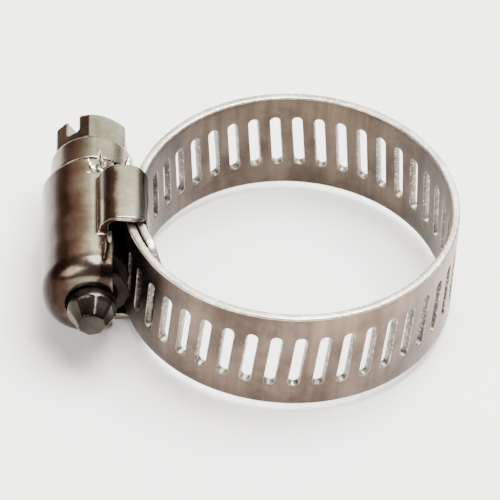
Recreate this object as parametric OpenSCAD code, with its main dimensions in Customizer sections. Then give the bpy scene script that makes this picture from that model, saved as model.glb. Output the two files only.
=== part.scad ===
// Worm-drive hose clamp: perforated band, one-piece housing and worm screw.
// Origin at the centre of the band's outer turn. +Z along the hose, the housing at -X,
// the screw parallel to Y with its head at +Y. Millimetres.

/* [Band] */
// Width of the band
band_w = 10; // [9:0.5:12]
// Thickness of the band
band_t = 0.7; // [0.5:0.05:0.7]
// Mean radius of the band's outer turn
ring_r = 13.95; // [13.9:0.01:14]
// Radial gap between the two turns inside the housing
turn_gap = 0.15; // [0.12:0.01:0.2]
// Arc from one slot to the next, also the pitch of the thread
slot_pitch = 2; // [1.98:0.005:2.01]
// Width of a slot
slot_w = 0.9; // [0.85:0.05:1]
// Length of a slot, end to end
slot_l = 5.45; // [4.5:0.05:6]
// Lean of a slot from the band's width
slot_lean = 5.4; // [4:0.1:6.5]

/* [Housing] */
// Outer radius of the barrel round the screw
barrel_r = 4.3; // [4.25:0.05:4.5]
// Sheet thickness of the barrel and saddle
sheet_t = 0.6; // [0.5:0.05:0.6]
// Front end of the barrel
barrel_front = -7.7; // [-8:0.1:-7.4]
// Rear end of the barrel
barrel_rear = 5.8; // [5.2:0.1:6]
// Front edge of the saddle
saddle_front = -3.4; // [-4:0.1:-2.5]
// Rear edge of the saddle
saddle_rear = 3.2; // [2.5:0.1:4]
// Height of the saddle across the band
saddle_h = 12.1; // [11.8:0.1:13]

/* [Screw] */
// Distance from the band's centre to the screw's axis
screw_dist = 16.85; // [16.8:0.01:16.9]
// Radius of the thread's crest
crest_r = 3.2; // [3:0.05:3.25]
// Radius of the thread's root
root_r = 2.15; // [2.1:0.05:2.3]
// Radius of the collar behind the barrel
collar_r = 3.6; // [3.4:0.05:3.7]
// Length of the collar
collar_l = 2.95; // [2:0.05:3.2]
// Neck between the barrel and the collar
neck_l = 0.9; // [0.3:0.1:1.2]
// Hex head across flats
hex_af = 6; // [5.5:0.1:6.2]
// Height of the hex head above the collar
hex_h = 3.25; // [2.5:0.05:3.4]
// Width of the driver slot
driver_w = 1.2; // [0.8:0.1:1.4]
// Depth of the driver slot
driver_depth = 1.9; // [1.5:0.1:2.4]
// How far the tip stands out of the barrel
tip_out = 2.5; // [1.8:0.1:2.8]

/* [Hidden] */
$fn = 72;
eps = 0.01;

// Band turns
inner_r = ring_r - band_t - turn_gap;
slot_a = slot_pitch / ring_r * 180 / PI;
inner_slot_a = slot_pitch / inner_r * 180 / PI;
front_slot_at = 270.8;
tail_slots = 4;
tail_slots_beyond = 4;
front_slots = 15;
fixed_slots = 2;
tail_hinge_a = front_slot_at - (tail_slots + 0.5) * slot_a;
far_hinge_a = tail_hinge_a + front_slots * slot_a;
rear_hinge_a = 139.7;
tail_end_a = 160;
tongue_end_a = 213.4;
tail_chamfer = 1.4;
tongue_chamfer = 2.1;

// The rear arc is tangent to the outer turn at the far hinge and ends on the inner turn's hinge.
far_dir = [cos(far_hinge_a), sin(far_hinge_a)];
rear_hinge = inner_r * [cos(rear_hinge_a), sin(rear_hinge_a)];
rear_shift = (ring_r * ring_r - inner_r * inner_r) / (2 * (ring_r - rear_hinge * far_dir));
rear_centre = rear_shift * far_dir;
rear_r = ring_r - rear_shift;
rear_slot_a = slot_pitch / rear_r * 180 / PI;
rear_end_v = rear_hinge - rear_centre;
rear_end_a = atan2(rear_end_v[1], rear_end_v[0]);
rear_slots = round((rear_end_a - far_hinge_a + 360) / rear_slot_a);

// Flex knuckles between the band's segments
knuckle_r = 0.2;
knuckle_gap = 0.1;
open_gap = knuckle_r + 0.04;

// Housing
saddle_in = inner_r - band_t / 2 - 0.02;
saddle_out = screw_dist - 0.45;
saddle_x = 12.1;
saddle_corner = 1.8;
channel_h = saddle_h - 2 * sheet_t;
channel_corner = 0.5;
bore_r = barrel_r - sheet_t;
wall_end = screw_dist - 0.42 * barrel_r;
neck_r = root_r - 0.07;
tip_hole_r = neck_r + 0.08;
cap_t = 0.7;
dome_r = 1.8;

// Screw
thread_steps = 20;
thread_front = barrel_front + cap_t + 0.4;
thread_rear = barrel_rear - 0.5;
crest_w = 0.24;
root_w = 0.62;
collar_start = barrel_rear + neck_l;
hex_turn = 25;
driver_turn = 55;
edge = 0.3;
tip_cone_l = 1.6;
tip_end_r = 1.2;
tip_turn = 10;

// Band -----------------------------------------------------------------

// One arc of the band: mean radius r from angle a0 to a1 about the centre c
module strip(c, r, a0, a1) {
    translate([c[0], c[1], 0]) rotate([0, 0, a0])
        rotate_extrude(angle = a1 - a0, $fn = 180)
            translate([r - band_t / 2, -band_w / 2]) square([band_t, band_w]);
}

// One leaning slot with round ends, cut at angle a
module slot_cut(c, r, a) {
    straight = slot_l - slot_w;
    translate([c[0], c[1], 0]) rotate([0, 0, a]) translate([r - 1, 0, 0])
        rotate([-slot_lean, 0, 0]) rotate([0, 90, 0]) linear_extrude(height = 2) {
            square([straight, slot_w], center = true);
            for (end = [-1, 1])
                translate([end * straight / 2, 0]) circle(d = slot_w, $fn = 24);
        }
}

// Both corners cut off the band's end at angle a
module corner_cut(r, a, size) {
    for (top = [-1, 1])
        rotate([0, 0, a]) translate([r, 0, top * band_w / 2]) rotate([45, 0, 0])
            cube([3, size * sqrt(2), size * sqrt(2)], center = true);
}

module knuckle(p) {
    translate([p[0], p[1], -band_w / 2]) cylinder(h = band_w, r = knuckle_r, $fn = 32);
}

function arc_point(r, a) = r * [cos(a), sin(a)];
function arc_angle(length, r) = length / r * 180 / PI;

// Inner turn: held in the housing, its tongue stands out at the front
module band_fixed_end() {
    color([0.5, 0.46, 0.41]) difference() {
        strip([0, 0], inner_r, rear_hinge_a + arc_angle(open_gap, inner_r), tongue_end_a);
        corner_cut(inner_r, tongue_end_a, tongue_chamfer);
        for (i = [0 : fixed_slots - 1])
            slot_cut([0, 0], inner_r, rear_hinge_a + (i + 0.5) * inner_slot_a);
    }
}

module band_rear_arc() {
    color([0.49, 0.45, 0.4]) difference() {
        union() {
            strip(rear_centre, rear_r, far_hinge_a - 360 + arc_angle(open_gap, rear_r),
                rear_end_a - arc_angle(knuckle_gap, rear_r));
            knuckle(rear_hinge);
        }
        for (i = [0 : rear_slots - 1])
            slot_cut(rear_centre, rear_r, far_hinge_a + (i + 0.5) * rear_slot_a);
    }
}

module band_front_arc() {
    color([0.57, 0.51, 0.47]) difference() {
        union() {
            strip([0, 0], ring_r, tail_hinge_a + arc_angle(open_gap, ring_r),
                far_hinge_a - arc_angle(knuckle_gap, ring_r));
            knuckle(arc_point(ring_r, far_hinge_a));
        }
        for (i = [0 : front_slots - 1])
            slot_cut([0, 0], ring_r, tail_hinge_a + (i + 0.5) * slot_a);
    }
}

// Outer turn: passes through the housing over the fixed end, with the thread in its slots
module band_tail() {
    color([0.57, 0.51, 0.47]) difference() {
        union() {
            strip([0, 0], ring_r, tail_end_a, tail_hinge_a - arc_angle(knuckle_gap, ring_r));
            knuckle(arc_point(ring_r, tail_hinge_a));
        }
        corner_cut(ring_r, tail_end_a, tail_chamfer);
        for (i = [0 : tail_slots + tail_slots_beyond])
            slot_cut([0, 0], ring_r, tail_hinge_a - (i + 0.5) * slot_a);
    }
}

// Housing --------------------------------------------------------------

// Puts a shape that stands on Z onto the screw's axis, +Z becoming +Y
module on_screw() {
    translate([-screw_dist, 0, 0]) rotate([-90, 0, 0]) children();
}

// A rectangle from x0 to x1, h high, with round corners
module round_rect(x0, x1, h, corner) {
    translate([x0 + corner, -h / 2]) square([x1 - x0 - 2 * corner, h]);
    translate([x0, -h / 2 + corner]) square([x1 - x0, h - 2 * corner]);
    for (x = [x0 + corner, x1 - corner], y = [-h / 2 + corner, h / 2 - corner])
        translate([x, y]) circle(r = corner, $fn = 32);
}

// The band's way through the saddle follows the band's curve
module channel() {
    intersection() {
        rotate([0, 0, 150]) rotate_extrude(angle = 60, $fn = 180)
            round_rect(saddle_in, saddle_out - sheet_t, channel_h, channel_corner);
        translate([-2 * ring_r, saddle_front - eps, -saddle_h])
            cube([2 * ring_r, saddle_rear - saddle_front + 2 * eps, 2 * saddle_h]);
    }
}

// Barrel with a turned-in front end
module barrel() {
    on_screw() {
        translate([0, 0, barrel_front + dome_r])
            cylinder(h = barrel_rear - barrel_front - dome_r, r = barrel_r);
        translate([0, 0, barrel_front + dome_r])
            rotate_extrude() {
                intersection() {
                    translate([barrel_r - dome_r, 0]) circle(r = dome_r, $fn = 48);
                    translate([0, -dome_r]) square([barrel_r, dome_r]);
                }
                translate([0, -dome_r]) square([barrel_r - dome_r, dome_r + eps]);
            }
    }
}

// Torn corner of the sheet beside the saddle, from y0 to its point at y1
module torn_ear(y0, y1, h) {
    translate([-screw_dist + 1.1, y0, 3.3]) rotate([0, -20, 0])
        linear_extrude(height = h)
            polygon([[0, 0], [0.5, 0], [0.45, 0.55 * (y1 - y0)], [0.2, y1 - y0], [0, 0.7 * (y1 - y0)]]);
}

module housing() {
    color([0.45, 0.38, 0.32]) difference() {
        union() {
            difference() {
                barrel();
                translate([-wall_end, -2 * barrel_r, -2 * barrel_r])
                    cube([3 * barrel_r, 5 * barrel_r, 4 * barrel_r]);
            }
            translate([0, saddle_rear, 0]) rotate([90, 0, 0])
                linear_extrude(height = saddle_rear - saddle_front)
                    round_rect(-saddle_out, -saddle_x, saddle_h, saddle_corner);
            torn_ear(saddle_front - 0.4, saddle_front - 3.2, 1);
            torn_ear(saddle_rear + 0.3, saddle_rear + 2.8, 0.9);
        }
        channel();
        on_screw() {
            translate([0, 0, barrel_front + cap_t])
                cylinder(h = 2 * barrel_rear - barrel_front, r = bore_r);
            translate([0, 0, barrel_front - 1]) cylinder(h = 4, r = tip_hole_r);
        }
    }
}

// Screw ----------------------------------------------------------------

// Half width of the ridge falls from root_w / 2 at the root to crest_w / 2 at the crest.
function ridge(u) =
    let (away = min(u, 1 - u) * slot_pitch)
    away < crest_w / 2 ? 1 : away > root_w / 2 ? 0 : (root_w / 2 - away) / (root_w / 2 - crest_w / 2);
function run_out(z, z0, z1) = max(0, min(1, min(z - z0, z1 - z) / 0.4));
function wrap(u) = u - floor(u);

// Right-handed thread with its core: a stack of rings, each turned one step on from the last
module thread(z0, z1, phase) {
    step = slot_pitch / thread_steps;
    rings = floor((z1 - z0) / step);
    points = [
        for (j = [0 : rings], i = [0 : thread_steps - 1])
            let (z = z0 + j * step, a = 360 * i / thread_steps)
            let (lift = ridge(wrap(z / slot_pitch - i / thread_steps - phase)) * run_out(z, z0, z0 + rings * step))
            let (r = root_r + (crest_r - root_r) * lift)
            [r * cos(a), r * sin(a), z]
    ];
    n = thread_steps;
    sides = [
        for (j = [0 : rings - 1], i = [0 : n - 1])
            let (k = (i + 1) % n)
            each [
                [j * n + i, (j + 1) * n + k, j * n + k],
                [j * n + i, (j + 1) * n + i, (j + 1) * n + k]
            ]
    ];
    polyhedron(points, concat([[for (i = [0 : n - 1]) i]], sides,
        [[for (i = [n - 1 : -1 : 0]) rings * n + i]]), convexity = 8);
}

module worm_screw() {
    engaged_slot = tail_hinge_a - (tail_slots + 2.5) * slot_a;
    engaged_y = -ring_r * sin(engaged_slot - 180);
    color([0.62, 0.6, 0.52]) on_screw() {
        thread(thread_front, thread_rear, engaged_y / slot_pitch);
        translate([0, 0, barrel_front - 0.1])
            cylinder(h = thread_front - barrel_front + 0.3, r = neck_r);
        translate([0, 0, barrel_front - tip_out + tip_cone_l])
            cylinder(h = tip_out - tip_cone_l + 0.1, r = neck_r);
        translate([0, 0, barrel_front - tip_out])
            rotate([0, 0, tip_turn]) cylinder(h = tip_cone_l, r1 = tip_end_r, r2 = neck_r, $fn = 8);
        translate([0, 0, thread_rear - 0.2])
            cylinder(h = collar_start - thread_rear + 0.4, r = neck_r);
        translate([0, 0, collar_start]) cylinder(h = collar_l - edge, r = collar_r);
        translate([0, 0, collar_start + collar_l - edge - eps])
            cylinder(h = edge, r1 = collar_r, r2 = collar_r - edge);
        difference() {
            translate([0, 0, collar_start + collar_l - 0.1])
                intersection() {
                    rotate([0, 0, hex_turn])
                        cylinder(h = hex_h + 0.1, r = hex_af / sqrt(3), $fn = 6);
                    cylinder(h = hex_h + 0.1, r1 = hex_af / 2 + hex_h + 0.1, r2 = hex_af / 2 - 0.05);
                }
            rotate([0, 0, driver_turn])
                translate([-hex_af, -driver_w / 2, collar_start + collar_l + hex_h - driver_depth])
                    cube([2 * hex_af, driver_w, hex_h + 1]);
        }
    }
}

housing();
worm_screw();
band_fixed_end();
band_rear_arc();
band_front_arc();
band_tail();
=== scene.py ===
# Looks for the worm-drive hose clamp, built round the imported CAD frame.
# Shapes are worked out in millimetres in the row's frame and scaled to metres as they are made.
import math

import bmesh
import bpy
from mathutils import Matrix, Vector, noise


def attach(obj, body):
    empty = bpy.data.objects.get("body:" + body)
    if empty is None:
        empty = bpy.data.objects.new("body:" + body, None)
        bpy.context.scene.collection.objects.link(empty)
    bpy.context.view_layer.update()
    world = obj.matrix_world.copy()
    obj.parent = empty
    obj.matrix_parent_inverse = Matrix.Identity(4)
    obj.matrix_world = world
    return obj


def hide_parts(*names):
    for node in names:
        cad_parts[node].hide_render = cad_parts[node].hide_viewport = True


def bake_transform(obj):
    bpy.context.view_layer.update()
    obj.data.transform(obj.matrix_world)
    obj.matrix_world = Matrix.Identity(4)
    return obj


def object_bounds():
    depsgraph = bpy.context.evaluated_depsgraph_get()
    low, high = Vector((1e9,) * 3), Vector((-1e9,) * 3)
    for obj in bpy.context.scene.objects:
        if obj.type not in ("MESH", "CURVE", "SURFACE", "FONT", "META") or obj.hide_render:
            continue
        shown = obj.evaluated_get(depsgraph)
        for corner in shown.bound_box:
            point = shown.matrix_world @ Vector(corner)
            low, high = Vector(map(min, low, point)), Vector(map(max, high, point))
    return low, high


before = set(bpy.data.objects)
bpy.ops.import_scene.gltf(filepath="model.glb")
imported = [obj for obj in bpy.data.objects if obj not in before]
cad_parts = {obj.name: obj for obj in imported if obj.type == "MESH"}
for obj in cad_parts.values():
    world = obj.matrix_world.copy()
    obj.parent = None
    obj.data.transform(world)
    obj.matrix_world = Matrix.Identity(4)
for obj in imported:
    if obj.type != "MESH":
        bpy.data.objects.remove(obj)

cad_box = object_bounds()
MM = 0.001

# The band's path: an inner turn, a rear arc between the two turns, and an outer turn. Lengths in
# millimetres, angles in degrees about the centre of the outer turn.
WIDTH = 10.0
THICK = 0.7
OUTER_R = 13.95
INNER_R = 13.1
PITCH = 2.0
SLOT_W = 0.9
SLOT_L = 5.45
LEAN = math.radians(5.4)
OUTER_STEP = math.degrees(PITCH / OUTER_R)
INNER_STEP = math.degrees(PITCH / INNER_R)
FRONT_SLOT_AT = 270.8
FRONT_CELLS = 15
TAIL_HINGE = FRONT_SLOT_AT - 4.5 * OUTER_STEP
FAR_HINGE = TAIL_HINGE + FRONT_CELLS * OUTER_STEP
REAR_HINGE = 139.7
TONGUE_END = 213.4
TONGUE_CHAMFER = 2.1
TAIL_CHAMFER = 1.4
TAIL_CELLS = 9
REAR_CELLS = 17
FIXED_SLOTS = 2
TONGUE_BLANKS = 6

# The band is three pieces, with a seam after this many cells of the rear and front arcs
REAR_SEAM_CELL = 8
FRONT_SEAM_CELL = 5

# Rolled edges: their radii, and the angles of the points round each
EDGE_ROUND = 0.16
SLOT_ROUND = 0.07
ROUND_STEPS = (30, 60, 90)

# The mesh of one cell: shares of half the width, shares of the length, and rows between edge and slot
SIDE_Z = [-1, -0.9, -0.76, -0.62, -0.47, -0.31, -0.155, 0, 0.155, 0.31, 0.47, 0.62, 0.76, 0.9, 1]
TOP_U = [0.25, 0.5, 0.75]
LAYERS = [0.22, 0.5, 0.78]
SLOT_REACH = 0.47
END_SPREAD = 1.6
WELD = 0.004
TINY = 1e-9

# Material slots of a band piece
OUTSIDE, INSIDE, SLIT, RIM = range(4)

# The screw's thread is darker between these places along its axis
THREAD_FRONT = -7.3
THREAD_REAR = 5.6


def polar(centre, r, degrees):
    a = math.radians(degrees)
    return (centre[0] + r * math.cos(a), centre[1] + r * math.sin(a))


def rear_circle():
    """The circle that leaves the outer turn at the far hinge and meets the inner turn at the rear hinge."""
    far = polar((0, 0), 1, FAR_HINGE)
    hinge = polar((0, 0), INNER_R, REAR_HINGE)
    along = OUTER_R - (hinge[0] * far[0] + hinge[1] * far[1])
    shift = (OUTER_R ** 2 - INNER_R ** 2) / (2 * along)
    centre = (shift * far[0], shift * far[1])
    end = math.degrees(math.atan2(hinge[1] - centre[1], hinge[0] - centre[0]))
    return centre, OUTER_R - shift, end


REAR_C, REAR_R, REAR_END = rear_circle()


# Band ------------------------------------------------------------------------

class Cell:
    """One stretch of band: its arc from a0 to a1, and where the slot is on it, as angles in degrees."""

    def __init__(self, centre, r, a0, a1, slot=None):
        self.centre = centre
        self.r = r
        self.a0 = a0
        self.a1 = a1
        self.slot = slot
        self.tail_end = False
        self.tongue_end = False

    def place(self, u, z, h):
        """The point u along the arc from the cell's start, at height z and h outside the mean surface."""
        x, y = polar(self.centre, self.r + h, self.a0 + math.degrees(u / self.r))
        return (x, y, z)

    def length(self):
        return math.radians(self.a1 - self.a0) * self.r


def tail_cells():
    cells = []
    for i in reversed(range(TAIL_CELLS)):
        high = TAIL_HINGE - i * OUTER_STEP
        cells.append(Cell((0, 0), OUTER_R, high - OUTER_STEP, high, high - OUTER_STEP / 2))
    cells[0].tail_end = True
    return cells


def front_cells():
    return [Cell((0, 0), OUTER_R, TAIL_HINGE + i * OUTER_STEP, TAIL_HINGE + (i + 1) * OUTER_STEP,
                 TAIL_HINGE + (i + 0.5) * OUTER_STEP) for i in range(FRONT_CELLS)]


def rear_cells():
    step = math.degrees(PITCH / REAR_R)
    start = FAR_HINGE - 360
    cells = [Cell(REAR_C, REAR_R, start + i * step, start + (i + 1) * step, start + (i + 0.5) * step)
             for i in range(REAR_CELLS)]
    cells[-1].a1 = REAR_END
    return cells


def fixed_cells():
    cells = [Cell((0, 0), INNER_R, REAR_HINGE + i * INNER_STEP, REAR_HINGE + (i + 1) * INNER_STEP,
                  REAR_HINGE + (i + 0.5) * INNER_STEP) for i in range(FIXED_SLOTS)]
    start = REAR_HINGE + FIXED_SLOTS * INNER_STEP
    step = (TONGUE_END - start) / TONGUE_BLANKS
    cells += [Cell((0, 0), INNER_R, start + i * step, start + (i + 1) * step)
              for i in range(TONGUE_BLANKS)]
    cells[-1].tongue_end = True
    return cells


class BandMesh:
    """Collects the cells of one stretch of band into one closed mesh."""

    def __init__(self):
        self.bm = bmesh.new()

    def vert(self, co):
        return self.bm.verts.new([c * MM for c in co])

    def face(self, verts, kind):
        """Adds a face of that material slot, leaving out repeated corners."""
        kept = []
        for v in verts:
            if v not in kept:
                kept.append(v)
        if len(kept) > 2:
            f = self.bm.faces.new(kept)
            f.material_index = kind
            f.smooth = True

    def add(self, cell, open_start, open_end):
        """Adds a cell. open_start and open_end say which of its ends stay joined to a neighbour."""
        length = cell.length()
        half = WIDTH / 2
        ring = self.outline(cell, length, half)
        faces_out, faces_in = [], []
        for sign, loops in ((1, faces_out), (-1, faces_in)):
            flat = []
            for point, way, free in ring:
                u, z = self.inset(point, way, free)
                flat.append(self.vert(cell.place(u, z, sign * THICK / 2)))
            loops.append(flat)
        if cell.slot is not None:
            self.slotted(cell, ring, faces_out, faces_in)
        else:
            self.blank(cell, faces_out, faces_in)
        self.rim(cell, ring, faces_out[0], faces_in[0], open_start, open_end)

    def inset(self, point, way, free):
        """Where the flat face stops: short of a free edge, and on a shared one."""
        return (point[0] - way[0] * EDGE_ROUND * free, point[1] - way[1] * EDGE_ROUND * free)

    def outline(self, cell, length, half):
        """The cell's outline as (point, outward direction, 1 on a free edge or 0 on a shared one)."""
        top = [u * length for u in TOP_U]
        cut = TAIL_CHAMFER if cell.tail_end else TONGUE_CHAMFER if cell.tongue_end else 0
        points = [self.side_point(length, z * half, half, cut if cell.tongue_end else 0, 1)
                  for z in SIDE_Z]
        for u in reversed(top):
            over = self.chamfer(cell, u, length, cut)
            points.append(((u, half - over), self.slant(cell, over, 1), 1))
        points += [self.side_point(0.0, z * half, half, cut if cell.tail_end else 0, -1)
                   for z in reversed(SIDE_Z)]
        for u in top:
            over = self.chamfer(cell, u, length, cut)
            points.append(((u, -half + over), self.slant(cell, over, -1), 1))
        return points

    def side_point(self, u, z, half, cut, outward):
        """A point on the cell's start or end. cut is the chamfer, where that side is the band's own end."""
        if cut:
            return ((u, z * (half - cut) / half), (outward, 0), 1)
        free = 1 if abs(z) > half - 1e-6 else 0
        return ((u, z), (0, math.copysign(1, z)), free)

    def chamfer(self, cell, u, length, cut):
        """How far the chamfer takes the edge in at u."""
        if cell.tongue_end:
            return max(0, u - (length - cut))
        return max(0, cut - u) if cell.tail_end else 0

    def slant(self, cell, over, side):
        """The outward direction of the top or bottom edge: slanted on a chamfer."""
        if over <= 0:
            return (0, side)
        s = math.sqrt(0.5)
        return (s if cell.tongue_end else -s, side * s)

    def slot_point(self, cell, p, grow):
        """The slot's rim point that belongs with outline point p, with the slot grown by grow."""
        mid = math.radians(cell.slot - cell.a0) * cell.r
        u, z = p[0] - mid, p[1]
        c, s = math.cos(LEAN), math.sin(LEAN)
        straight = (SLOT_L - SLOT_W) / 2
        r = SLOT_W / 2 + grow
        reach = WIDTH / 2 * SLOT_REACH
        if abs(z) <= reach:
            a, b = math.copysign(r, u), z / reach * straight
        else:
            angle = math.atan2(abs(z) - reach, abs(u) * END_SPREAD + TINY)
            a = math.copysign(r * math.cos(angle), u) if abs(u) > TINY else 0.0
            b = math.copysign(straight + r * math.sin(angle), z)
        return (mid + a * c + b * s, b * c - a * s)

    def slotted(self, cell, ring, faces_out, faces_in):
        """Rows of faces from the outline to the slot on both surfaces, then the slot's wall."""
        for sign, loops in ((1, faces_out), (-1, faces_in)):
            rim = [self.slot_point(cell, p, SLOT_ROUND) for p, _, _ in ring]
            for share in [1 - x for x in reversed(LAYERS)]:
                row = []
                for (point, way, free), q in zip(ring, rim):
                    e = self.inset(point, way, free)
                    u = e[0] + (q[0] - e[0]) * share
                    z = e[1] + (q[1] - e[1]) * share
                    row.append(self.vert(cell.place(u, z, sign * THICK / 2)))
                loops.append(row)
            loops.append([self.vert(cell.place(q[0], q[1], sign * THICK / 2)) for q in rim])
            self.skin(loops, OUTSIDE if sign > 0 else INSIDE, sign < 0)
        wall = [faces_out[-1]]
        for t in ROUND_STEPS:
            wall.append(self.wall_row(cell, ring, math.radians(t), 1))
        wall.append([self.vert(cell.place(*self.slot_point(cell, p, 0), 0)) for p, _, _ in ring])
        for t in reversed(ROUND_STEPS):
            wall.append(self.wall_row(cell, ring, math.radians(t), -1))
        wall.append(faces_in[-1])
        self.skin(wall, SLIT, False)

    def skin(self, loops, kind, flip):
        """Joins closed loops of the same count with quads."""
        n = len(loops[0])
        for a, b in zip(loops, loops[1:]):
            for i in range(n):
                k = (i + 1) % n
                quad = [a[i], a[k], b[k], b[i]]
                self.face(quad[::-1] if flip else quad, kind)

    def wall_row(self, cell, ring, t, sign):
        """One row of points round the slot, at angle t of its rolled rim."""
        grow = SLOT_ROUND * (1 - math.sin(t))
        h = sign * (THICK / 2 - SLOT_ROUND * (1 - math.cos(t)))
        return [self.vert(cell.place(*self.slot_point(cell, p, grow), h)) for p, _, _ in ring]

    def blank(self, cell, faces_out, faces_in):
        """A plain stretch: rows across it, between the end side and the start side of the outline."""
        m, k = len(SIDE_Z), len(TOP_U)
        for sign, loops in ((1, faces_out), (-1, faces_in)):
            loop = loops[0]
            end, start = loop[:m], loop[m + k:2 * m + k][::-1]
            top, bottom = loop[m:m + k], loop[2 * m + k:][::-1]
            columns = [end]
            for j in range(k):
                hi, lo = top[j].co, bottom[j].co
                share_u = TOP_U[k - 1 - j]
                column = [bottom[j]]
                for i in range(1, m - 1):
                    f = (SIDE_Z[i] + 1) / 2
                    z = (lo.z + (hi.z - lo.z) * f) / MM
                    column.append(self.vert(cell.place(share_u * cell.length(), z, sign * THICK / 2)))
                columns.append(column + [top[j]])
            columns.append(start)
            for a, b in zip(columns, columns[1:]):
                for i in range(m - 1):
                    quad = [a[i], a[i + 1], b[i + 1], b[i]]
                    self.face(quad if sign > 0 else quad[::-1], OUTSIDE if sign > 0 else INSIDE)

    def rim(self, cell, ring, outer, inner, open_start, open_end):
        """Rounds the free edges, and closes an end that joins no neighbour."""
        n, m, k = len(ring), len(SIDE_Z), len(TOP_U)
        rows = {}
        for i, (p, way, free) in enumerate(ring):
            if not free:
                continue
            row = [outer[i]]
            for sign, order in ((1, ROUND_STEPS), (-1, ROUND_STEPS[::-1])):
                for t in order:
                    a = math.radians(t)
                    back = EDGE_ROUND * (1 - math.sin(a))
                    h = sign * (THICK / 2 - EDGE_ROUND * (1 - math.cos(a)))
                    row.append(self.vert(cell.place(p[0] - way[0] * back, p[1] - way[1] * back, h)))
            row.append(inner[i])
            rows[i] = row
        for i in range(n):
            j = (i + 1) % n
            if i in rows and j in rows:
                for a in range(len(rows[i]) - 1):
                    self.face([rows[i][a], rows[i][a + 1], rows[j][a + 1], rows[j][a]], RIM)
        if not open_end and not cell.tongue_end:
            self.cap(outer[:m], inner[:m], rows.get(0), rows.get(m - 1), True)
        if not open_start and not cell.tail_end:
            side = slice(m + k, 2 * m + k)
            low, high = rows.get(2 * m + k - 1), rows.get(m + k)
            self.cap(outer[side][::-1], inner[side][::-1], low, high, False)

    def cap(self, outer, inner, low, high, at_end):
        """A flat seam face, where this stretch of band meets the next piece."""
        loop = outer[:] + high[1:-1] + inner[::-1] + low[1:-1][::-1]
        f = self.bm.faces.new(loop if not at_end else loop[::-1])
        f.material_index = OUTSIDE
        f.smooth = False

    def finish(self, name):
        """Welds neighbouring cells and returns the object."""
        bmesh.ops.remove_doubles(self.bm, verts=self.bm.verts, dist=WELD * MM)
        bmesh.ops.recalc_face_normals(self.bm, faces=self.bm.faces)
        for e in self.bm.edges:
            if len(e.link_faces) == 2 and any(not f.smooth for f in e.link_faces):
                e.smooth = False
        mesh = bpy.data.meshes.new(name)
        self.bm.to_mesh(mesh)
        self.bm.free()
        obj = bpy.data.objects.new(name, mesh)
        bpy.context.scene.collection.objects.link(obj)
        return obj


def band_piece(name, cells):
    """One closed stretch of band from a run of neighbouring cells."""
    band = BandMesh()
    for i, cell in enumerate(cells):
        band.add(cell, i > 0, i < len(cells) - 1)
    return band.finish(name)


# Pressed and turned steel ----------------------------------------------------

VOXEL = 0.12
SHARD_STEPS = 7
SHARD_PROFILE = ((-1, -0.3), (-0.3, -1), (0.5, -0.8), (1, 0.1), (0.4, 0.9), (-0.5, 1))


def apply_modifiers(obj):
    """Swaps the object's mesh for what its modifiers make of it."""
    bpy.context.view_layer.update()
    final = bpy.data.meshes.new_from_object(obj.evaluated_get(bpy.context.evaluated_depsgraph_get()))
    obj.modifiers.clear()
    obj.data = final


def softened(name, node, rounds):
    """A copy of a CAD node's solid with its corners rolled over, as on pressed or tumbled steel."""
    obj = bpy.data.objects.new(name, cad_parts[node].data.copy())
    bpy.context.scene.collection.objects.link(obj)
    obj.data.materials.clear()
    remesh = obj.modifiers.new("grain", "REMESH")
    remesh.mode = "VOXEL"
    remesh.voxel_size = VOXEL * MM
    smooth = obj.modifiers.new("rolled", "SMOOTH")
    smooth.factor = 0.5
    smooth.iterations = rounds
    apply_modifiers(obj)
    for p in obj.data.polygons:
        p.use_smooth = True
    return obj


def waviness(obj, scale, depth, seed):
    """Slow dents in pressed sheet, along the surface's own direction."""
    shift = Vector((seed, seed * 0.7, 0))
    points = [(v.co.copy(), v.normal.copy()) for v in obj.data.vertices]
    moved = []
    for co, normal in points:
        moved.extend(co + normal * noise.noise(co * scale / MM + shift) * depth * MM)
    obj.data.vertices.foreach_set("co", moved)
    obj.data.update()


def shard(name, base, tip, width, thick, twist, seed):
    """A torn sliver of sheet: a jagged tapering blade from base to tip."""
    bm = bmesh.new()
    base, tip = Vector(base), Vector(tip)
    along = tip - base
    side = along.orthogonal().normalized()
    side = Matrix.Rotation(math.radians(twist), 3, along.normalized()) @ side
    flat = along.normalized().cross(side)
    rows = []
    for i in range(SHARD_STEPS + 1):
        t = i / SHARD_STEPS
        w = width * (1 - t) ** 0.7 * (1 + 0.35 * noise.noise(Vector((seed, t * 5.3, 0)))) + 0.03
        lift = flat * 0.18 * noise.noise(Vector((seed + 4, t * 3.1, 1)))
        mid = base + along * t + side * 0.2 * noise.noise(Vector((seed + 9, t * 4.7, 2))) + lift
        th = thick * (1 - 0.6 * t)
        rows.append([bm.verts.new((mid + side * a * w / 2 + flat * b * th / 2) * MM)
                     for a, b in SHARD_PROFILE])
    n = len(rows[0])
    for a, b in zip(rows, rows[1:]):
        for i in range(n):
            k = (i + 1) % n
            bm.faces.new([a[i], a[k], b[k], b[i]])
    bm.faces.new(rows[0][::-1])
    bm.faces.new(rows[-1])
    bmesh.ops.recalc_face_normals(bm, faces=bm.faces)
    mesh = bpy.data.meshes.new(name)
    bm.to_mesh(mesh)
    bm.free()
    obj = bpy.data.objects.new(name, mesh)
    bpy.context.scene.collection.objects.link(obj)
    return obj


# Materials -------------------------------------------------------------------

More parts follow.
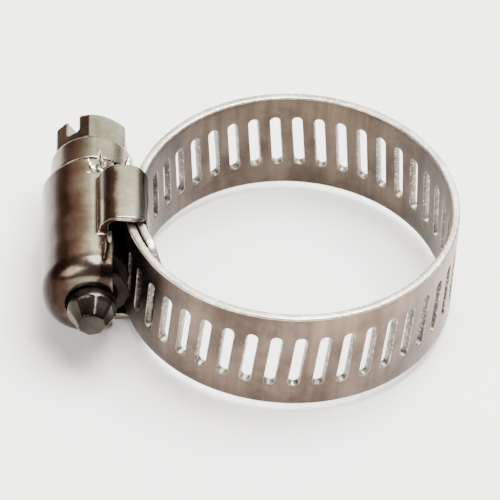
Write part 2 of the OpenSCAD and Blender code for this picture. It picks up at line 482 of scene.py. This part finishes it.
class Nodes:
    """Short calls for building a node tree."""

    def __init__(self, tree):
        self.tree = tree
        self.tree.nodes.clear()

    def feed(self, socket, value):
        """Links another node's output to a socket, or sets its value. A colour gets full alpha."""
        if isinstance(value, bpy.types.NodeSocket):
            self.tree.links.new(value, socket)
        elif socket.type == "RGBA":
            socket.default_value = (*value, 1)
        else:
            socket.default_value = value

    def add(self, kind, **inputs):
        """A node with its inputs given by name, or by number as i0, i1 and so on."""
        n = self.tree.nodes.new(kind)
        for key, value in inputs.items():
            numbered = key[0] == "i" and key[1:].isdigit()
            self.feed(n.inputs[int(key[1:]) if numbered else key.replace("_", " ")], value)
        return n

    def math(self, op, a, b, c=0.5):
        n = self.tree.nodes.new("ShaderNodeMath")
        n.operation = op
        for socket, value in zip(n.inputs, (a, b, c)):
            self.feed(socket, value)
        return n.outputs[0]

    def ramp(self, factor, stops):
        n = self.tree.nodes.new("ShaderNodeValToRGB")
        n.color_ramp.interpolation = "EASE"
        elements = n.color_ramp.elements
        while len(elements) < len(stops):
            elements.new(0.5)
        for e, (at, colour) in zip(elements, stops):
            e.position = at
            e.color = (*colour, 1)
        self.tree.links.new(factor, n.inputs[0])
        return n.outputs[0]

    def mix(self, factor, a, b, blend="MIX"):
        n = self.tree.nodes.new("ShaderNodeMix")
        n.data_type, n.blend_type = "RGBA", blend
        for number, value in ((0, factor), (6, a), (7, b)):
            self.feed(n.inputs[number], value)
        return n.outputs[2]

    def noise(self, where, scale, detail=4, rough=0.55):
        n = self.add("ShaderNodeTexNoise", Vector=where, Scale=scale, Detail=detail, Roughness=rough)
        return n.outputs["Fac"]


def grey(v):
    return (v, v, v)


# Scales of the noises in worn steel, per metre, and what they do to it
MOTTLE, STAINS, GRAIN, FINE = 260, 95, 900, 3200
SPECK = (0.95, 0.93, 0.86)
ROUGH_SPREAD = 0.16
BAND_WANDER = 0.25
BUMP = 0.35


def steel(name, dark, light, rough, stretch, tint, grain_depth, speck=0.0, light_and_shade_bands=()):
    """Worn steel: a mottled base, stains, fine drawn grain along one direction, and bright specks.

    Each band is painted light and shade: an axis, the two places along it where its ramp starts and ends,
    and the ramp.
    """
    mat = bpy.data.materials.new(name)
    mat.use_nodes = True
    g = Nodes(mat.node_tree)
    where = g.add("ShaderNodeTexCoord").outputs["Object"]
    drawn = g.add("ShaderNodeMapping", i0=where, i3=stretch).outputs[0]
    mottle = g.noise(where, MOTTLE, 5, 0.6)
    stains = g.noise(where, STAINS, 3, 0.5)
    grain = g.noise(drawn, GRAIN, 4, 0.7)
    fine = g.noise(where, FINE, 3, 0.7)
    base = g.mix(g.ramp(mottle, [(0.3, grey(0)), (0.7, grey(1))]), dark, light)
    base = g.mix(g.ramp(stains, [(0.5, grey(0)), (0.72, grey(0.75))]), base, tint)
    shadow = tuple(c * 0.55 for c in dark)
    base = g.mix(g.ramp(grain, [(0.35, grey(0.0)), (0.65, grey(0.32))]), base, shadow)
    if speck:
        base = g.mix(g.ramp(fine, [(0.5, grey(0)), (0.66, grey(speck))]), base, SPECK)
    axes = g.add("ShaderNodeSeparateXYZ", Vector=where)
    # Painted light and shade: each band's ramp multiplies the colour along its axis, its edge wandering
    # with the mottle
    for axis, low, high, stops in light_and_shade_bands:
        past_low = g.math("ADD", axes.outputs[axis], -low * MM)
        reach = g.math("MULTIPLY", past_low, 1 / ((high - low) * MM))
        wander = g.math("MULTIPLY_ADD", g.math("ADD", mottle, -0.5), BAND_WANDER, reach)
        base = g.mix(1.0, base, g.ramp(wander, stops), "MULTIPLY")
    roughness = g.math("MULTIPLY_ADD", g.math("ADD", grain, mottle), ROUGH_SPREAD, rough - ROUGH_SPREAD)
    height = g.math("ADD", g.math("MULTIPLY", grain, 0.6), g.math("MULTIPLY", fine, 0.4))
    bump = g.add("ShaderNodeBump", Strength=BUMP, Distance=grain_depth * MM, Height=height)
    shader = g.add("ShaderNodeBsdfPrincipled", Base_Color=base, Metallic=1.0, Roughness=roughness,
                   Normal=bump.outputs[0])
    g.add("ShaderNodeOutputMaterial", Surface=shader.outputs[0])
    return mat


def lin(r, g, b):
    """A colour given as it looks on screen, 0 to 255, in the linear values that shaders use."""
    return tuple(((c / 255 + 0.055) / 1.055) ** 2.4 if c > 10 else c / 255 / 12.92
                 for c in (r, g, b))


def paint(obj, *materials):
    for m in materials:
        obj.data.materials.append(m)


# Scene -----------------------------------------------------------------------

# The camera looks at the middle of the hose from in front and above. Angles in degrees, lengths in
# millimetres, and the aim as slopes to the right and up.
VIEW_TILT = math.radians(43.65)
VIEW_ROLL = math.radians(4.02)
VIEW_TURN = math.radians(-4.9)
VIEW_OFFSET = Vector((-0.165, 0.416, 0))
VIEW_DISTANCE = 310.7
LENS = 261.5
SENSOR = 36
AIM_RIGHT = 0.0112882
AIM_UP = 0.0009361
CLIP_METRES = (0.01, 20)

# The studio: linear colours by direction, brighter than 1 on the panel and the backdrop
PANEL_WAY = Vector((0.36, 0.72, 0.60))
PANEL_STOPS = [(0.0, lin(130, 108, 97)), (0.5, lin(134, 104, 92)), (0.70, lin(190, 165, 148)),
               (0.88, (1.0, 0.98, 0.80)), (0.95, (2.5, 2.85, 2.3))]
RIGHT_SLATE = lin(118, 128, 136)
FRONT_BROWN = lin(128, 112, 104)
LOW_GREY = lin(168, 160, 152)
BACKDROP = (2.2, 2.2, 2.2)
WORLD_STRENGTH = 1.5
FLOOR_HALF = 900


def add_camera():
    turn = Matrix.Rotation(VIEW_TURN, 3, "Z")
    back = Vector((0, -math.cos(VIEW_TILT), math.sin(VIEW_TILT)))
    up = Vector((0, math.sin(VIEW_TILT), math.cos(VIEW_TILT)))
    side = Vector((1, 0, 0))
    right = turn @ (side * math.cos(VIEW_ROLL) + up * math.sin(VIEW_ROLL))
    top = turn @ (up * math.cos(VIEW_ROLL) - side * math.sin(VIEW_ROLL))
    back = turn @ back
    place = back * VIEW_DISTANCE - VIEW_OFFSET
    right = (right - back * AIM_RIGHT).normalized()
    top = top - back * AIM_UP
    axis = right.cross(top).normalized()
    top = axis.cross(right)
    data = bpy.data.cameras.new("camera")
    data.lens = LENS
    data.sensor_width = SENSOR
    data.clip_start, data.clip_end = CLIP_METRES
    cam = bpy.data.objects.new("camera", data)
    rows = Matrix((right, top, axis)).transposed().to_4x4()
    rows.translation = place * MM
    cam.matrix_world = rows
    bpy.context.scene.collection.objects.link(cam)
    bpy.context.scene.camera = cam


def add_world():
    """Soft studio surroundings: a bright panel behind and above, and dimmer colours elsewhere."""
    world = bpy.data.worlds.new("studio")
    bpy.context.scene.world = world
    world.use_nodes = True
    g = Nodes(world.node_tree)
    ray = g.add("ShaderNodeTexCoord").outputs["Generated"]
    dot = g.add("ShaderNodeVectorMath", i0=ray, i1=PANEL_WAY.normalized())
    dot.operation = "DOT_PRODUCT"
    glow = g.ramp(dot.outputs["Value"], PANEL_STOPS)
    axes = g.add("ShaderNodeSeparateXYZ", Vector=ray)
    facing = g.math("MULTIPLY_ADD", axes.outputs["Y"], -0.5, 0.5)
    front = g.ramp(facing, [(0.55, grey(0)), (0.85, grey(1))])
    right = g.ramp(axes.outputs["X"], [(0.52, grey(0)), (0.68, grey(0.85))])
    shade = g.mix(right, glow, RIGHT_SLATE)
    shade = g.mix(front, shade, FRONT_BROWN)
    above = g.ramp(axes.outputs["Z"], [(0.0, grey(0)), (0.12, grey(1))])
    shade = g.mix(above, LOW_GREY, shade)
    seen = g.add("ShaderNodeLightPath").outputs["Is Camera Ray"]
    shade = g.mix(seen, shade, BACKDROP)
    back = g.add("ShaderNodeBackground", Color=shade, Strength=WORLD_STRENGTH)
    g.add("ShaderNodeOutputWorld", Surface=back.outputs[0])


def add_area(name, place, size, power, colour):
    """A square soft light that faces the middle of the hose."""
    data = bpy.data.lights.new(name, "AREA")
    data.shape = "RECTANGLE"
    data.size = data.size_y = size * MM
    data.energy = power
    data.color = colour
    lamp = bpy.data.objects.new(name, data)
    lamp.location = Vector(place) * MM
    lamp.rotation_euler = (-Vector(place)).to_track_quat("-Z", "Y").to_euler()
    bpy.context.scene.collection.objects.link(lamp)


def add_floor(z):
    """A plain pale floor at height z, in metres."""
    half = FLOOR_HALF * MM
    corners = [(x * half, y * half, z) for x, y in ((-1, -1), (1, -1), (1, 1), (-1, 1))]
    mesh = bpy.data.meshes.new("floor")
    mesh.from_pydata(corners, [], [(0, 1, 2, 3)])
    floor = bpy.data.objects.new("floor", mesh)
    bpy.context.scene.collection.objects.link(floor)
    mat = bpy.data.materials.new("floor_paper")
    mat.use_nodes = True
    g = Nodes(mat.node_tree)
    where = g.add("ShaderNodeTexCoord").outputs["Object"]
    tone = g.mix(g.noise(where, 6, 2), (0.90, 0.90, 0.89), (0.94, 0.94, 0.93))
    shader = g.add("ShaderNodeBsdfPrincipled", Base_Color=tone, Roughness=0.9)
    g.add("ShaderNodeOutputMaterial", Surface=shader.outputs[0])
    paint(floor, mat)


# Pieces ----------------------------------------------------------------------

# Painted light and shade along a piece: the axis, where the ramp starts and ends, and the ramp
# Painted reflections across the housing: stripes of painted highlight and of painted shade, blue-grey
# towards the strap
PAINTED_REFLECTION_BANDS = ("X", -21.2, -11.2, [
    (0.0, (0.52, 0.49, 0.49)), (0.07, (0.4, 0.36, 0.35)), (0.11, (0.22, 0.16, 0.14)),
    (0.19, (0.42, 0.31, 0.27)), (0.26, (1.0, 0.9, 0.82)), (0.44, (1.5, 1.55, 1.5)),
    (0.48, (1.3, 1.3, 1.25)), (0.51, (0.34, 0.28, 0.26)), (0.58, (0.45, 0.38, 0.35)),
    (0.63, (1.45, 1.5, 1.45)), (0.77, (1.45, 1.5, 1.45)), (0.83, (0.62, 0.68, 0.72))])
# Painted shade on the barrel's front dome
PAINTED_DOME_SHADE = ("Y", -7.7, -4.7, [(0.0, grey(0.32)), (0.5, grey(0.4)), (0.75, grey(1.0))])
# Painted shade on the screw's tip, darkest at its end
PAINTED_TIP_SHADE = ("Y", -10.2, -6.0, [(0.0, grey(0.13)), (0.35, grey(0.3)), (0.9, grey(0.36)), (1.0, grey(1.0))])

# Torn slivers of the housing's sheet: name, base, tip, width, thickness, twist and noise seed
SHARDS = (
    ("shard_rear_a", (-16.1, 4.6, 4.0), (-16.35, 5.9, 5.3), 1.7, 0.5, 20, 1.3),
    ("shard_rear_b", (-16.5, 4.6, 4.0), (-17.3, 5.2, 4.75), 1.2, 0.4, 60, 2.1),
    ("shard_rear_d", (-16.2, 4.5, 3.9), (-15.6, 5.1, 4.6), 1.2, 0.4, 35, 6.4),
    ("shard_rear_e", (-16.6, 4.2, 4.1), (-17.3, 3.9, 4.45), 0.5, 0.25, 80, 8.8),
    ("shard_rear_c", (-14.1, 3.0, 5.6), (-13.8, 4.5, 5.8), 0.8, 0.3, 10, 5.2),
    ("shard_front_a", (-15.35, -3.3, 3.8), (-15.5, -7.0, 3.5), 1.7, 0.5, 60, 3.7),
    ("shard_front_b", (-16.0, -4.6, 4.1), (-16.4, -6.3, 4.0), 0.5, 0.3, 40, 7.9))


def along(point, direction, distance):
    """The point that far from another in the band's plane, in metres."""
    return (*((p + d * distance) * MM for p, d in zip(point, direction)), 0.0)


def build_band():
    """The band as three pieces, each taking in one hinge of the band's path."""
    tail, front, rear, fixed = tail_cells(), front_cells(), rear_cells(), fixed_cells()
    outside = steel("band_outside", lin(70, 59, 52), lin(108, 93, 84), 0.34, (1, 1, 0.03),
                    lin(140, 118, 100), 0.010)
    # The inside is a darker copy of the outside steel: painted shade inside the ring.
    inside_shaded = steel("band_inside_painted_shade", lin(58, 49, 43), lin(94, 82, 73), 0.36, (1, 1, 0.03),
                   lin(96, 82, 68), 0.010)
    # The slit walls are lighter than the band's faces: painted highlight.
    slit_walls_highlight = steel("band_slit_walls_painted_highlight", lin(96, 88, 80), lin(160, 153, 142), 0.45, (1, 1, 1),
                 lin(84, 75, 66), 0.02, speck=0.4)
    # The band's edges are much lighter than its faces: painted highlight.
    rim = steel("band_rim_painted_highlight", lin(165, 158, 148), lin(228, 224, 214), 0.38, (1, 1, 1),
                lin(140, 130, 118), 0.03, speck=0.7)
    pieces = (
        ("band_fixed_side", rear[REAR_SEAM_CELL:] + fixed, ["band_fixed_end"],
         "housing", "rear_arc", INNER_R, REAR_HINGE, -3.5, 8),
        ("band_far_side", front[FRONT_SEAM_CELL:] + rear[:REAR_SEAM_CELL],
         ["band_rear_arc", "band_front_arc"], "rear_arc", "front_arc", OUTER_R, FAR_HINGE, -6, 6),
        ("band_tail_side", tail + front[:FRONT_SEAM_CELL], ["band_tail"],
         "front_arc", "tail", OUTER_R, TAIL_HINGE, -5, 5))
    for name, cells, nodes, a, b, r, angle, before, after in pieces:
        piece = band_piece(name, cells)
        paint(piece, outside, inside_shaded, slit_walls_highlight, rim)
        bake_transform(piece)
        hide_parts(*nodes)


def build_housing():
    """The barrel and saddle as one shell, with the torn slivers beside the strap."""
    shell = softened("housing_shell", "housing", rounds=4)
    waviness(shell, scale=0.35, depth=0.05, seed=3)
    # The housing's colour carries painted reflection stripes and painted shade on the front dome.
    sheet = steel("housing_steel", lin(108, 96, 88), lin(152, 140, 129), 0.23, (1, 0.05, 1),
                  lin(122, 94, 80), 0.006, light_and_shade_bands=(PAINTED_REFLECTION_BANDS, PAINTED_DOME_SHADE))
    paint(shell, sheet)
    # The slivers' near-white colour is a painted glint.
    torn_glint = steel("torn_edges_painted_glint", lin(190, 184, 172), lin(240, 238, 230), 0.2, (1, 1, 1),
                 lin(170, 160, 140), 0.04, speck=0.8)
    for name, base, tip, width, thick, twist, seed in SHARDS:
        blade = shard(name, base, tip, width, thick, twist, seed)
        paint(blade, torn_glint)
        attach(blade, "housing")
    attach(shell, "housing")
    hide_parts("housing")


def build_screw():
    """The screw in one piece, its thread a darker colour."""
    screw = softened("worm_screw_body", "worm_screw", rounds=2)
    # The screw's colour carries painted shade on its tip.
    turned = steel("screw_steel", lin(102, 92, 82), lin(152, 144, 132), 0.24, (1, 0.08, 1),
                   lin(104, 86, 76), 0.008, light_and_shade_bands=(PAINTED_TIP_SHADE,))
    dark_thread = steel("thread_dark", lin(26, 22, 19), lin(44, 38, 33), 0.5, (1, 0.08, 1),
                    lin(20, 17, 15), 0.008)
    paint(screw, turned, dark_thread)
    for p in screw.data.polygons:
        y = p.center[1] / MM
        if THREAD_FRONT < y < THREAD_REAR:
            p.material_index = 1
    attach(screw, "screw")
    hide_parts("worm_screw")


build_band()
build_housing()
build_screw()
add_floor(cad_box[0][2])
add_camera()
add_world()
add_area("key", place=(60, 30, 260), size=220, power=3.6, colour=(1.0, 0.99, 0.97))
add_area("fill", place=(-180, -160, 140), size=160, power=0.8, colour=(1.0, 0.98, 0.96))
